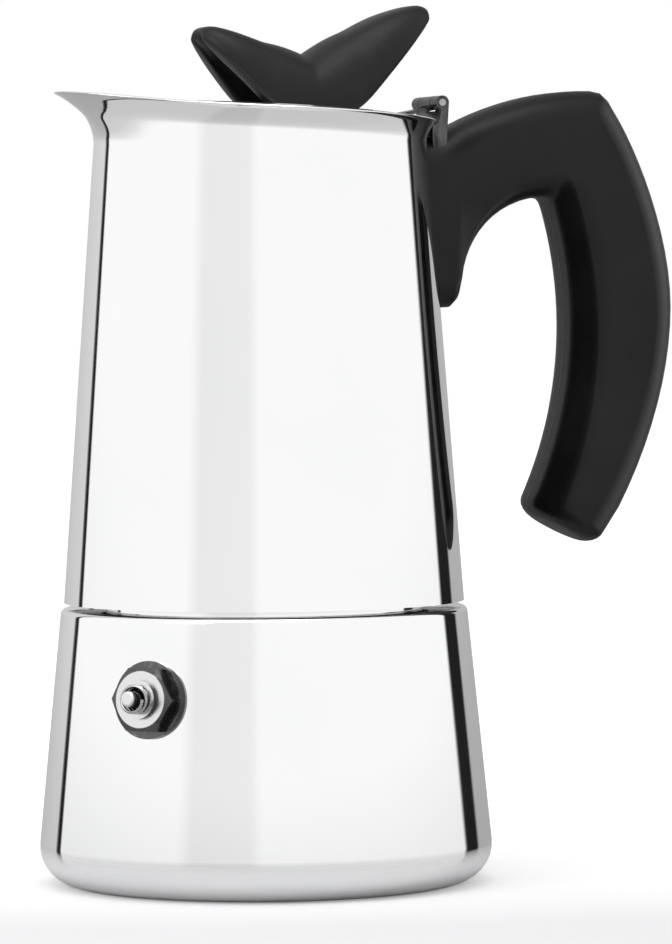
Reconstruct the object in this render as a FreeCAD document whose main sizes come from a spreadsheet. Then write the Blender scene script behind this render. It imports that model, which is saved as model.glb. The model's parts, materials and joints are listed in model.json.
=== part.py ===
import FreeCAD, Part
import math
import os
import Sketcher
from types import SimpleNamespace

# Stainless moka pot. +Z is up, the pot's axis is Z and z = 0 is the face that it stands on.
# The handle is on +X and the spout on -X. Lengths are millimetres.

Vector = FreeCAD.Vector
doc = FreeCAD.newDocument("moka_pot")

# Driving sizes: name, value, what it measures
SIZES = (
    ("boiler_base_radius", 48.0, "boiler wall carried down to the standing face"),
    ("boiler_shoulder_radius", 42.3, "boiler wall at the shoulder"),
    ("boiler_height", 57.5, "standing face to shoulder"),
    ("boiler_wall", 1.0, "boiler sheet"),
    ("base_wall", 2.0, "boiler base"),
    ("base_round", 8.0, "round between base and wall"),
    ("shoulder_round", 1.2, "round at the shoulder"),
    ("neck_radius", 33.0, "neck under the thread"),
    ("neck_wall", 1.2, "neck thickness"),
    ("neck_height", 10.5, "neck above the shoulder"),
    ("thread_pitch", 3.0, "rise of the thread in a turn"),
    ("thread_rise", 4.5, "height of thread, end to end"),
    ("thread_depth", 0.9, "ridge height"),
    ("thread_root", 1.2, "ridge width at its foot"),
    ("thread_crest", 0.6, "ridge width at its top"),
    ("thread_start", 3.0, "first ridge above the shoulder"),
    ("thread_clearance", 0.4, "play between neck ridge and collar"),
    ("sheet", 0.8, "pressed sheet of funnel, floor, lid and chimney"),
    ("basket_radius", 30.3, "coffee basket, outside"),
    ("basket_depth", 24.0, "basket below the neck's top"),
    ("stem_radius", 4.5, "funnel stem, outside"),
    ("stem_length", 39.0, "stem below the basket"),
    ("plate_lift", 3.0, "lower filter plate above the basket's floor"),
    ("plate_play", 0.3, "filter plate in its seat"),
    ("filter_hole", 0.9, "radius of a filter hole"),
    ("filter_ring", 7.0, "step between rings of filter holes"),
    ("gasket_inner", 26.5, "gasket bore"),
    ("gasket_height", 3.0, "gasket thickness"),
    ("gasket_play", 0.4, "gasket inside the collar"),
    ("gasket_rebate", 0.9, "step that holds the upper filter plate"),
    ("upper_plate_radius", 28.2, "upper filter plate"),
    ("seal_gap", 0.05, "gap on each face of the gasket"),
    ("jug_base_radius", 41.7, "jug wall at its lower edge"),
    ("jug_base_gap", 1.2, "seam between shoulder and jug"),
    ("jug_taper", 0.0737, "radius lost per millimetre of height"),
    ("jug_wall", 0.9, "jug sheet"),
    ("rim_height", 160.35, "rim on the pot's axis"),
    ("rim_tilt", 3.0, "degrees that the rim falls toward the handle"),
    ("lip_zone", 20.0, "height of the wall that the lip and spout shape"),
    ("lip_reach", 2.4, "flare of the lip all round"),
    ("lip_depth", 4.5, "height of the lip's flare"),
    ("spout_reach", 8.1, "spout beyond the lip"),
    ("spout_depth", 9.5, "height of the spout's flare"),
    ("spout_spread", 0.34, "radians in which the spout dies away"),
    ("spout_rise", 1.8, "rim at the spout above the rim's plane"),
    ("rise_spread", 0.6, "radians in which that rise dies away"),
    ("collar_inset", 0.4, "collar above the jug's lower edge"),
    ("collar_wall", 1.2, "threaded collar"),
    ("chimney_base_radius", 9.0, "chimney at the floor, outside"),
    ("chimney_top_radius", 5.5, "chimney at its top, outside"),
    ("chimney_height", 55.0, "chimney above the floor"),
    ("cap_skirt", 6.0, "cap below the chimney's top"),
    ("cap_room", 5.0, "cap above the chimney's top"),
    ("cap_wall", 0.8, "cap thickness"),
    ("cap_outlet_width", 6.0, "outlet in the cap, across"),
    ("cap_outlet_height", 3.0, "outlet in the cap, tall"),
    ("press_gap", 0.02, "gap of a pressed fit"),
    ("valve_azimuth", 218.3, "degrees round from the handle"),
    ("valve_height", 40.9, "valve centre above the standing face"),
    ("boss_radius", 7.9, "round seat of the valve"),
    ("boss_stand", 1.2, "seat proud of the wall"),
    ("hex_radius", 7.3, "hex head, centre to corner"),
    ("hex_height", 2.8, "hex head"),
    ("hex_front_radius", 5.7, "round front of the hex head"),
    ("valve_collar_radius", 3.95, "collar before the hex"),
    ("valve_collar_height", 1.0, "collar before the hex"),
    ("valve_stem_radius", 4.9, "valve stem through the wall"),
    ("valve_stem_length", 10.0, "valve stem behind the seat"),
    ("valve_stem_play", 0.1, "stem in its hole"),
    ("valve_mouth_radius", 2.47, "hole around the pin"),
    ("valve_chamber_radius", 3.6, "spring chamber"),
    ("valve_nose", 2.3, "thickness around the mouth"),
    ("pin_radius", 1.67, "valve pin"),
    ("pin_tip", 3.8, "pin beyond the collar"),
    ("pin_head_radius", 3.2, "pin's sealing head"),
    ("pin_head_height", 1.7, "pin's sealing head"),
    ("retainer_height", 1.5, "seat ring in the stem"),
    ("retainer_bore", 1.6, "hole in the seat ring"),
    ("spring_wire", 0.35, "radius of the spring wire"),
    ("spring_turns", 5.0, "turns of the spring"),
    ("spring_gap", 0.1, "spring to the faces at its ends"),
    ("handle_width", 16.6, "handle across"),
    ("handle_round", 2.8, "round along the handle's edges"),
    ("handle_corner", 3.0, "round at the handle's corners"),
    ("handle_root_low", 119.2, "lower end of the handle's root"),
    ("handle_root_high", 156.0, "upper end of the handle's root"),
    ("handle_root_sink", 4.0, "root carried into the jug before it is trimmed"),
    ("handle_tip_reach", 42.0, "lower end of the root from the axis"),
    ("handle_top_reach", 38.5, "top edge where it meets the jug"),
    ("handle_corner_reach", 75.3, "upper outer corner from the axis"),
    ("handle_corner_height", 165.2, "upper outer corner"),
    ("handle_top_curve", 66.0, "radius of the top edge"),
    ("grip_end_reach", 72.4, "outer end of the grip from the axis"),
    ("grip_end_height", 70.2, "outer end of the grip"),
    ("grip_outer_curve", 82.5, "radius of the grip's outer side"),
    ("grip_inner_end_reach", 59.2, "inner end of the grip from the axis"),
    ("grip_inner_end_height", 77.8, "inner end of the grip"),
    ("grip_inner_curve", 84.0, "radius of the grip's inner side"),
    ("arch_reach", 64.0, "top of the finger gap from the axis"),
    ("arch_height", 142.5, "top of the finger gap"),
    ("arch_curve", 20.9, "radius of the root's lower side"),
    ("arch_round", 2.2, "round at the top of the finger gap"),
    ("bracket_width", 8.0, "handle bracket across"),
    ("bracket_plate", 1.2, "bracket plate on the wall"),
    ("bracket_tall", 20.0, "bracket plate height"),
    ("bracket_base_height", 128.0, "bracket plate's lower edge"),
    ("tongue_height", 3.0, "bracket tongue thickness"),
    ("tongue_reach", 52.0, "end of the tongue from the axis"),
    ("tongue_base_height", 145.0, "underside of the tongue"),
    ("bracket_play", 0.1, "bracket in the handle"),
    ("screw_radius", 2.0, "screw shank"),
    ("screw_head_radius", 3.5, "screw head"),
    ("screw_head_height", 2.2, "screw head"),
    ("screw_play", 0.05, "shank in its hole"),
    ("screw_socket", 1.1, "radius of the driver socket"),
    ("screw_reach", 47.2, "handle screw from the axis"),
    ("screw_grip", 5.0, "handle screw above the tongue"),
    ("lid_play", 0.5, "lid edge inside the lip"),
    ("lid_drop", 0.2, "lid edge below the rim"),
    ("lid_step", 0.8, "raised middle of the lid"),
    ("lid_flat_radius", 30.0, "raised middle of the lid"),
    ("lid_slope_radius", 33.0, "foot of the lid's step"),
    ("hinge_reach", 38.1, "hinge axis from the pot's axis"),
    ("hinge_height", 162.4, "hinge axis"),
    ("knuckle_radius", 1.45, "hinge knuckle"),
    ("hinge_pin_radius", 0.75, "hinge pin"),
    ("hinge_pin_play", 0.05, "pin in its knuckles"),
    ("hinge_length", 14.0, "hinge barrel"),
    ("lid_knuckle_length", 6.4, "middle knuckle, on the lid"),
    ("knuckle_gap", 0.3, "between knuckles"),
    ("leaf_sheet", 0.8, "hinge leaves"),
    ("lid_leaf_reach", 28.5, "inner end of the lid leaf from the axis"),
    ("body_leaf_foot", 150.5, "lower end of the leaf on the jug"),
    ("knob_reach", 8.5, "knob centre from the axis, along the lid"),
    ("knob_foot", 9.8, "half length of the knob at the lid"),
    ("knob_half_width", 12.0, "half width of the knob"),
    ("knob_left_span", 24.3, "low wing from the knob's centre"),
    ("knob_right_span", 28.4, "high wing from the knob's centre"),
    ("knob_left_height", 15.2, "tip of the low wing above the lid's rim plane"),
    ("knob_right_height", 22.6, "tip of the high wing above the lid's rim plane"),
    ("knob_valley", 12.4, "valley between the wings"),
    ("knob_left_crest", 17.9, "top of the low wing"),
    ("knob_right_crest", 25.2, "top of the high wing"),
    ("knob_dish", 1.4, "hollow on the wings' upper faces"),
    ("knob_shell", 3.4, "thickness of the wings"),
    ("knob_web", 8.0, "half length of the solid middle"),
    ("knob_screw_depth", 7.0, "screw in the knob"),
    ("washer_radius", 5.0, "washer under the lid"),
    ("washer_height", 0.8, "washer under the lid"),
)


class Size:
    """A size as a number and as the sheet's expression for it."""

    def __init__(self, value, text):
        self.value = value
        self.text = text

    def joined(self, sign, other, value):
        return Size(value, f"({self.text} {sign} {other.text})")

    def __add__(self, other):
        other = as_size(other)
        return self.joined("+", other, self.value + other.value)

    def __sub__(self, other):
        other = as_size(other)
        return self.joined("-", other, self.value - other.value)

    def __mul__(self, other):
        other = as_size(other)
        return self.joined("*", other, self.value * other.value)

    def __truediv__(self, other):
        other = as_size(other)
        return self.joined("/", other, self.value / other.value)

    def __pow__(self, other):
        other = as_size(other)
        return self.joined("^", other, self.value ** other.value)


def as_size(number):
    return number if isinstance(number, Size) else Size(number, repr(float(number)))


def make_sheet():
    """Write the sizes into the sheet and return them by name."""
    sheet = doc.addObject("Spreadsheet::Sheet", "Sizes")
    named = {}
    for row, (name, value, note) in enumerate(SIZES, start=1):
        sheet.set(f"A{row}", str(value))
        sheet.setAlias(f"A{row}", name)
        sheet.set(f"B{row}", note)
        named[name] = Size(value, f"Sizes.{name}")
    doc.recompute()
    return SimpleNamespace(**named)


size = make_sheet()
ZERO = Size(0.0, "0")


# Sketches and turned bodies

def origin_plane(body, role):
    return next(item for item in body.Origin.OriginFeatures if item.Role == role)


def arc_geometry(start, end, radius):
    """Arc from start to end; a positive radius keeps its centre on the left of the way."""
    chord = end - start
    half = chord.Length / 2
    across = Vector(-chord.y, chord.x, 0).normalize()
    rise = math.sqrt(radius * radius - half * half)
    centre = (start + end) / 2 + across * math.copysign(rise, radius)
    circle = Part.Circle(centre, Vector(0, 0, 1), abs(radius))
    first, last = (start, end) if radius > 0 else (end, start)
    return Part.ArcOfCircle(circle, circle.parameter(first), circle.parameter(last))


def draw_outline(sketch, outline):
    """Closed outline of (x, y) or (x, y, radius of the arc that goes on from there)."""
    points = [Vector(point[0].value, point[1].value, 0) for point in outline]
    starts = []
    ends = []
    for index, point in enumerate(outline):
        start = points[index]
        end = points[(index + 1) % len(points)]
        if len(point) == 3:
            edge = sketch.addGeometry(arc_geometry(start, end, point[2].value))
            turned_left = point[2].value > 0
            starts.append((edge, 1 if turned_left else 2))
            ends.append((edge, 2 if turned_left else 1))
            bend = sketch.addConstraint(Sketcher.Constraint("Radius", edge, abs(point[2].value)))
            sketch.setExpression(f"Constraints[{bend}]", f"abs({point[2].text})")
        else:
            edge = sketch.addGeometry(Part.LineSegment(start, end))
            starts.append((edge, 1))
            ends.append((edge, 2))
    for index, (edge, corner) in enumerate(starts):
        previous = ends[index - 1]
        sketch.addConstraint(Sketcher.Constraint("Coincident", previous[0], previous[1], edge, corner))
        place_point(sketch, edge, corner, outline[index])


def place_point(sketch, edge, corner, point):
    """Tie one corner of an outline to the sketch's origin."""
    for kind, length, axis in (("DistanceX", point[0], -2), ("DistanceY", point[1], -1)):
        if length is ZERO:
            sketch.addConstraint(Sketcher.Constraint("PointOnObject", edge, corner, axis))
        else:
            rule = Sketcher.Constraint(kind, -1, 1, edge, corner, length.value)
            number = sketch.addConstraint(rule)
            sketch.setExpression(f"Constraints[{number}]", length.text)


def new_sketch(body, name, role="XZ_Plane"):
    sketch = body.newObject("Sketcher::SketchObject", name)
    sketch.AttachmentSupport = (origin_plane(body, role), [""])
    sketch.MapMode = "FlatFace"
    return sketch


def turned(name, outline, placement=FreeCAD.Placement()):
    """Body turned about its own Z axis from an outline of (radius, height)."""
    body = doc.addObject("PartDesign::Body", name)
    sketch = new_sketch(body, name + "_outline")
    draw_outline(sketch, outline)
    turn = body.newObject("PartDesign::Revolution", name + "_turn")
    turn.Profile = sketch
    turn.ReferenceAxis = (sketch, ["V_Axis"])
    turn.Angle = 360
    body.Placement = placement
    doc.recompute()
    return body


def round_edges(body, name, radius, wanted):
    """Round the edges of the body that the test picks."""
    base = body.Tip
    edges = [f"Edge{number}" for number, edge in enumerate(base.Shape.Edges, start=1) if wanted(edge)]
    fillet = body.newObject("PartDesign::Fillet", name)
    fillet.Base = (base, edges)
    fillet.Radius = radius.value
    fillet.setExpression("Radius", radius.text)
    doc.recompute()


def ring_at(radius, height):
    """Test for the circular edge of that radius and height."""
    def test(edge):
        curve = edge.Curve
        if not isinstance(curve, Part.Circle):
            return False
        return abs(curve.Radius - radius.value) < 1e-4 and abs(curve.Center.z - height.value) < 1e-4
    return test


def add_thread(body, name, foot_radius, crest_radius, start_height):
    """Ridge that climbs from the XZ plane; its foot is sunk into the wall that carries it."""
    sketch = new_sketch(body, name + "_section")
    half_root = size.thread_root / 2
    half_crest = size.thread_crest / 2
    draw_outline(sketch, [
        (foot_radius, start_height - half_root),
        (crest_radius, start_height - half_crest),
        (crest_radius, start_height + half_crest),
        (foot_radius, start_height + half_root),
    ])
    helix = body.newObject("PartDesign::AdditiveHelix", name)
    helix.Profile = sketch
    helix.ReferenceAxis = (sketch, ["V_Axis"])
    helix.Mode = 0
    helix.Pitch = size.thread_pitch.value
    helix.Height = size.thread_rise.value
    helix.setExpression("Pitch", size.thread_pitch.text)
    helix.setExpression("Height", size.thread_rise.text)
    doc.recompute()


def pierce_ring(body, name, radius, reach, count):
    """Ring of holes through a plate, along Z."""
    sketch = new_sketch(body, name + "_outline", "XY_Plane")
    circle = sketch.addGeometry(Part.Circle(Vector(reach.value, 0, 0), Vector(0, 0, 1), radius.value))
    sketch.addConstraint(Sketcher.Constraint("PointOnObject", circle, 3, -1))
    for rule, length in (
        (("Radius", circle, radius.value), radius),
        (("DistanceX", -1, 1, circle, 3, reach.value), reach),
    ):
        number = sketch.addConstraint(Sketcher.Constraint(*rule))
        sketch.setExpression(f"Constraints[{number}]", length.text)
    pocket = body.newObject("PartDesign::Pocket", name)
    pocket.Profile = sketch
    pocket.Type = 1
    pocket.Midplane = True
    doc.recompute()
    if count > 1:
        pattern = body.newObject("PartDesign::PolarPattern", name + "_pattern")
        pattern.Originals = [pocket]
        pattern.Axis = (sketch, ["N_Axis"])
        pattern.Angle = 360
        pattern.Occurrences = count
        body.Tip = pattern
        doc.recompute()


# Levels and fits that several pieces share

neck_top = size.boiler_height + size.neck_height
flange_top = neck_top + size.sheet
gasket_base = flange_top + size.seal_gap
gasket_top = gasket_base + size.gasket_height
floor_base = gasket_top + size.seal_gap
floor_top = floor_base + size.sheet
jug_base = size.boiler_height + size.jug_base_gap
thread_height = size.boiler_height + size.thread_start
neck_crest = size.neck_radius + size.thread_depth
collar_bore = neck_crest + size.thread_clearance
collar_crest = collar_bore - size.thread_depth
chimney_top = floor_top + size.chimney_height


def jug_inner_radius(height):
    """Inside of the jug's straight wall at a height."""
    return size.jug_base_radius - size.jug_wall - size.jug_taper * (height - jug_base)


# Boiler

def make_boiler():
    neck_bore = size.neck_radius - size.neck_wall
    under_shoulder = size.boiler_height - size.boiler_wall
    inner_corner = size.boiler_base_radius - size.boiler_wall
    body = turned("boiler", [
        (ZERO, ZERO),
        (size.boiler_base_radius, ZERO),
        (size.boiler_shoulder_radius, size.boiler_height),
        (size.neck_radius, size.boiler_height),
        (size.neck_radius, neck_top),
        (neck_bore, neck_top),
        (neck_bore, under_shoulder),
        (size.boiler_shoulder_radius - size.boiler_wall, under_shoulder),
        (inner_corner, size.base_wall),
        (ZERO, size.base_wall),
    ])
    round_edges(body, "base_outside", size.base_round, ring_at(size.boiler_base_radius, ZERO))
    inside_round = size.base_round - size.boiler_wall
    round_edges(body, "base_inside", inside_round, ring_at(inner_corner, size.base_wall))
    round_edges(body, "shoulder", size.shoulder_round,
                ring_at(size.boiler_shoulder_radius, size.boiler_height))
    add_thread(body, "neck_thread", size.neck_radius - size.neck_wall / 2, neck_crest, thread_height)
    hole = body.newObject("PartDesign::SubtractiveCylinder", "valve_hole")
    hole.setExpression("Radius", (size.valve_stem_radius + size.valve_stem_play).text)
    hole.setExpression("Height", (size.valve_stem_length * 2).text)
    hole.Placement = valve_frame.multiply(
        FreeCAD.Placement(Vector(0, 0, -size.valve_stem_length.value), FreeCAD.Rotation()))
    doc.recompute()
    return body


# Safety valve, modelled about its own axis with z = 0 where that axis leaves the wall

def valve_place():
    """Frame whose Z is square to the boiler's wall at the valve and whose X is level."""
    lean = (size.boiler_base_radius.value - size.boiler_shoulder_radius.value) / size.boiler_height.value
    radius = size.boiler_base_radius.value - lean * size.valve_height.value
    turn = math.radians(size.valve_azimuth.value)
    outward = Vector(math.cos(turn), math.sin(turn), lean).normalize()
    level = Vector(-math.sin(turn), math.cos(turn), 0)
    base = Vector(radius * math.cos(turn), radius * math.sin(turn), size.valve_height.value)
    return FreeCAD.Placement(base, FreeCAD.Rotation(level, outward.cross(level), outward, "ZXY"))


valve_frame = valve_place()
hex_top = size.boss_stand + size.hex_height
valve_front = hex_top + size.valve_collar_height
stem_end = size.boss_stand - size.valve_stem_length
chamber_end = valve_front - size.valve_nose
retainer_top = stem_end + size.retainer_height
pin_head_top = retainer_top + size.seal_gap + size.pin_head_height


def valve_turned(name, outline):
    return turned(name, outline, valve_frame)


def bound(kind, name, base, frame=None, **lengths):
    """Part primitive in a frame, lifted by base, with its lengths tied to the sheet."""
    item = doc.addObject(kind, name)
    for key, length in lengths.items():
        item.setExpression(key, length.text)
    place = FreeCAD.Placement(Vector(0, 0, base.value), FreeCAD.Rotation())
    item.Placement = frame.multiply(place) if frame else place
    return item


def make_valve_boss():
    sunk = size.boss_stand * 3
    disc = bound("Part::Cylinder", "boss_disc", size.boss_stand - sunk, valve_frame,
                 Radius=size.boss_radius, Height=sunk)
    hole = bound("Part::Cylinder", "boss_hole", size.boss_stand - sunk * 2, valve_frame,
                 Radius=size.valve_stem_radius + size.valve_stem_play, Height=sunk * 3)
    wall = bound("Part::Cone", "boss_wall", ZERO, None, Radius1=size.boiler_base_radius,
                 Radius2=size.boiler_shoulder_radius, Height=size.boiler_height)
    tools = doc.addObject("Part::MultiFuse", "boss_tools")
    tools.Shapes = [hole, wall]
    boss = doc.addObject("Part::Cut", "valve_boss")
    boss.Base = disc
    boss.Tool = tools
    return boss


def make_valve_body():
    prism = doc.addObject("Part::Prism", "hex_prism")
    prism.Polygon = 6
    prism.setExpression("Circumradius", size.hex_radius.text)
    prism.setExpression("Height", size.hex_height.text)
    prism.Placement = valve_frame.multiply(
        FreeCAD.Placement(Vector(0, 0, size.boss_stand.value), FreeCAD.Rotation()))
    slope = bound("Part::Cone", "hex_slope", size.boss_stand, valve_frame,
                  Radius1=size.hex_front_radius + size.hex_height * 2,
                  Radius2=size.hex_front_radius, Height=size.hex_height)
    head = doc.addObject("Part::Common", "hex_head")
    head.Base = prism
    head.Tool = slope
    collar = bound("Part::Cylinder", "valve_collar", hex_top, valve_frame,
                   Radius=size.valve_collar_radius, Height=size.valve_collar_height)
    stem = bound("Part::Cylinder", "valve_stem", stem_end, valve_frame,
                 Radius=size.valve_stem_radius, Height=size.valve_stem_length)
    solid = doc.addObject("Part::MultiFuse", "valve_solid")
    solid.Shapes = [head, collar, stem]
    mouth = bound("Part::Cylinder", "valve_mouth", ZERO, valve_frame,
                  Radius=size.valve_mouth_radius, Height=valve_front * 2)
    chamber = bound("Part::Cylinder", "valve_chamber", stem_end, valve_frame,
                    Radius=size.valve_chamber_radius, Height=chamber_end - stem_end)
    bores = doc.addObject("Part::MultiFuse", "valve_bores")
    bores.Shapes = [mouth, chamber]
    body = doc.addObject("Part::Cut", "valve_body")
    body.Base = solid
    body.Tool = bores
    return body


def make_valve_retainer():
    outside = size.valve_chamber_radius
    return valve_turned("valve_retainer", [
        (size.retainer_bore, stem_end),
        (outside, stem_end),
        (outside, retainer_top),
        (size.retainer_bore, retainer_top),
    ])


def make_valve_pin():
    head_base = retainer_top + size.seal_gap
    tip = valve_front + size.pin_tip
    body = valve_turned("valve_pin", [
        (ZERO, head_base),
        (size.pin_head_radius, head_base),
        (size.pin_head_radius, pin_head_top),
        (size.pin_radius, pin_head_top),
        (size.pin_radius, tip),
        (ZERO, tip),
    ])
    round_edges(body, "pin_end", size.pin_radius / 3, ring_at(size.pin_radius, tip))
    return body


def make_valve_spring():
    """Open coil round the pin, from the sealing head to the nose of the valve."""
    wire = size.spring_wire.value
    room = size.valve_chamber_radius.value - size.pin_radius.value
    radius = size.pin_radius.value + room / 2
    low = pin_head_top.value + size.spring_gap.value + wire
    high = chamber_end.value - size.spring_gap.value - wire
    pitch = (high - low) / size.spring_turns.value
    helix = Part.makeHelix(pitch, high - low, radius)
    section = Part.Wire(Part.makeCircle(wire, Vector(radius, 0, 0), Vector(0, 1, 0)))
    coil = Part.Wire(helix.Edges).makePipeShell([section], True, True)
    coil.translate(Vector(0, 0, low))
    print("valve spring gap between turns", round(pitch - 2 * wire, 2))
    return shaped("valve_spring", coil, valve_frame)


def shaped(name, shape, placement=FreeCAD.Placement()):
    item = doc.addObject("Part::Feature", name)
    item.Shape = shape
    item.Placement = placement
    return item


# Funnel, gasket and filter plates

def make_funnel():
    floor = neck_top - size.basket_depth
    bore = size.basket_radius - size.sheet
    basket = turned("funnel_basket", [
        (size.stem_radius, floor),
        (size.basket_radius, floor),
        (size.basket_radius, neck_top),
        (size.neck_radius, neck_top),
        (size.neck_radius, flange_top),
        (bore, flange_top),
        (bore, floor + size.sheet),
        (size.stem_radius, floor + size.sheet),
    ])
    stem_bore = size.stem_radius - size.sheet
    stem = turned("funnel_stem", [
        (stem_bore, floor - size.stem_length),
        (size.stem_radius, floor - size.stem_length),
        (size.stem_radius, floor + size.sheet),
        (stem_bore, floor + size.sheet),
    ])
    plate_base = floor + size.sheet
    plate_top = plate_base + size.plate_lift
    plate_radius = bore - size.plate_play
    plate = turned("funnel_filter_plate", [
        (ZERO, plate_top - size.sheet),
        (plate_radius - size.sheet, plate_top - size.sheet),
        (plate_radius - size.sheet, plate_base),
        (plate_radius, plate_base),
        (plate_radius, plate_top),
        (ZERO, plate_top),
    ])
    pierce_plate(plate, "lower_holes")
    return [basket, stem, plate]


def pierce_plate(plate, name):
    """Three rings of six, twelve and eighteen holes."""
    for ring in (1, 2, 3):
        pierce_ring(plate, f"{name}_{ring}", size.filter_hole, size.filter_ring * ring, 6 * ring)


def make_seal():
    outside = collar_bore - size.gasket_play
    seat = size.upper_plate_radius + size.plate_play
    step = gasket_top - size.gasket_rebate
    gasket = turned("gasket", [
        (size.gasket_inner, gasket_base),
        (outside, gasket_base),
        (outside, gasket_top),
        (seat, gasket_top),
        (seat, step),
        (size.gasket_inner, step),
    ])
    plate = turned("collector_filter_plate", [
        (ZERO, step),
        (size.upper_plate_radius, step),
        (size.upper_plate_radius, step + size.sheet),
        (ZERO, step + size.sheet),
    ])
    pierce_plate(plate, "upper_holes")
    return [gasket, plate]


# Jug

FLARE_POWER = 1.5


def rim_level(x):
    """Height of the rim's plane, in which the lid lies."""
    return size.rim_height.value - x * math.tan(math.radians(size.rim_tilt.value))


def rim_top(x, angle):
    """Height of the rim, which rises out of its plane toward the spout."""
    beside = (math.pi - abs(angle)) / size.rise_spread.value
    return rim_level(x) + size.spout_rise.value * math.exp(-beside * beside)


def flare(depth, reach, height):
    """How far a lip that curls out over a height has come at a depth below the rim."""
    share = max(0.0, 1.0 - max(0.0, depth) / height)
    return reach * share ** FLARE_POWER


def wall_radius(height, inset):
    """Straight wall of the jug at a height."""
    return size.jug_base_radius.value - inset - size.jug_taper.value * (height - jug_base.value)


def lip_point(angle, share, inset):
    """Point of the jug's top; the share runs from the straight wall, 0, to the rim, 1."""
    foot = size.rim_height.value - size.lip_zone.value
    beside = (math.pi - abs(angle)) / size.spout_spread.value
    radius = wall_radius(foot, inset)
    for _ in range(3):
        rise = rim_top(radius * math.cos(angle), angle) - foot
        depth = (1.0 - share) * rise
        radius = wall_radius(foot + share * rise, inset)
        radius += flare(depth, size.lip_reach.value, size.lip_depth.value)
        radius += flare(depth, size.spout_reach.value, size.spout_depth.value) * math.exp(-beside * beside)
    x = radius * math.cos(angle)
    return Vector(x, radius * math.sin(angle), foot + share * (rim_top(x, angle) - foot))


def ring_round(point_at):
    """Closed smooth edge through points all round the pot."""
    points_round = 72
    curve = Part.BSplineCurve()
    curve.interpolate([point_at(2 * math.pi * step / points_round - math.pi) for step in range(points_round)],
                      PeriodicFlag=True)
    return curve.toShape()


def lip_skin(inset):
    """Face through evenly spaced closed rings, from the straight wall to the rim."""
    rings_up = 16
    rings = [ring_round(lambda angle: lip_point(angle, ring / rings_up, inset)) for ring in range(rings_up + 1)]
    return Part.makeLoft([Part.Wire(ring) for ring in rings], False, False).Faces[0]


def level_ring(radius, height):
    return ring_round(lambda angle: Vector(radius * math.cos(angle), radius * math.sin(angle), height))


def wall_bands(inset, lip_foot):
    """Straight wall as level bands, from the jug's lower edge up to the foot of the lip."""
    bands = 8
    rise = size.rim_height.value - size.lip_zone.value - jug_base.value
    heights = [jug_base.value + rise * band / bands for band in range(bands)]
    rings = [level_ring(wall_radius(height, inset), height) for height in heights] + [lip_foot]
    return [Part.makeRuledSurface(lower, upper) for lower, upper in zip(rings, rings[1:])]


def end_loops(face):
    """Lower and upper closed edges of a skin."""
    loops = [edge for edge in face.Edges if edge.isClosed()]
    loops.sort(key=lambda edge: edge.BoundBox.ZMax)
    return loops[0], loops[-1]


def sewn(faces):
    """Closed solid from faces that meet edge to edge."""
    edge_tolerance = 0.001
    shell = Part.Compound(faces)
    shell.sewShape(edge_tolerance)
    return Part.Solid(shell.Shells[0])


def make_jug():
    """Jug as a filled solid, for trimming what stands on it, and as its sheet."""
    insets = (0.0, size.jug_wall.value)
    lips = [lip_skin(inset) for inset in insets]
    high = [end_loops(lip)[1] for lip in lips]
    walls = [wall_bands(inset, end_loops(lip)[0]) for inset, lip in zip(insets, lips)]
    low = [end_loops(bands[0])[0] for bands in walls]
    rims = [Part.makeRuledSurface(*low), Part.makeRuledSurface(*high)]
    hub = level_ring(size.jug_wall.value, size.rim_height.value)
    ends = [Part.Face(Part.Wire([loop])) for loop in (low[0], hub)]
    filled = sewn([lips[0]] + walls[0] + [Part.makeRuledSurface(high[0], hub)] + ends)
    return filled, shaped("jug_shell", sewn(lips + walls[0] + walls[1] + rims))


def make_collector():
    wall_floor = jug_inner_radius(floor_base)
    wall_floor_top = jug_inner_radius(floor_top)
    chimney_bore = size.chimney_base_radius - size.sheet
    floor = turned("collector_floor", [
        (chimney_bore, floor_base),
        (wall_floor, floor_base),
        (wall_floor_top, floor_top),
        (chimney_bore, floor_top),
    ])
    foot = jug_base + size.collar_inset
    foot_top = foot + size.sheet
    outside = collar_bore + size.collar_wall
    collar = turned("threaded_collar", [
        (collar_bore, foot),
        (jug_inner_radius(foot), foot),
        (jug_inner_radius(foot_top), foot_top),
        (outside, foot_top),
        (outside, floor_base),
        (collar_bore, floor_base),
    ])
    half_turn = size.thread_pitch / 2
    add_thread(collar, "collar_thread", collar_bore + size.collar_wall / 2, collar_crest,
               thread_height + half_turn)
    chimney = turned("chimney", [
        (chimney_bore, floor_top),
        (size.chimney_base_radius, floor_top),
        (size.chimney_top_radius, chimney_top),
        (size.chimney_top_radius - size.sheet, chimney_top),
    ])
    return [floor, collar, chimney, make_chimney_cap()]


def make_chimney_cap():
    """Cap that grips the chimney's tapered end, with an outlet on each side."""
    lean = (size.chimney_base_radius - size.chimney_top_radius) / size.chimney_height
    bore = size.chimney_top_radius + size.press_gap
    skirt_bore = bore + lean * size.cap_skirt
    skirt = chimney_top - size.cap_skirt
    roof = chimney_top + size.cap_room
    cap = turned("chimney_cap", [
        (skirt_bore, skirt),
        (skirt_bore + size.cap_wall, skirt),
        (bore + size.cap_wall, chimney_top),
        (bore + size.cap_wall, roof + size.cap_wall),
        (ZERO, roof + size.cap_wall),
        (ZERO, roof),
        (bore, roof),
        (bore, chimney_top),
    ])
    round_edges(cap, "cap_round", size.cap_wall, ring_at(bore + size.cap_wall, roof + size.cap_wall))
    sketch = new_sketch(cap, "cap_outlet_outline")
    half = size.cap_outlet_width / 2
    sill = roof - size.cap_outlet_height
    draw_outline(sketch, [
        (ZERO - half, sill),
        (half, sill),
        (half, roof),
        (ZERO - half, roof),
    ])
    outlet = cap.newObject("PartDesign::Pocket", "cap_outlets")
    outlet.Profile = sketch
    outlet.Type = 1
    outlet.Midplane = True
    doc.recompute()
    return cap


# Handle

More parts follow.
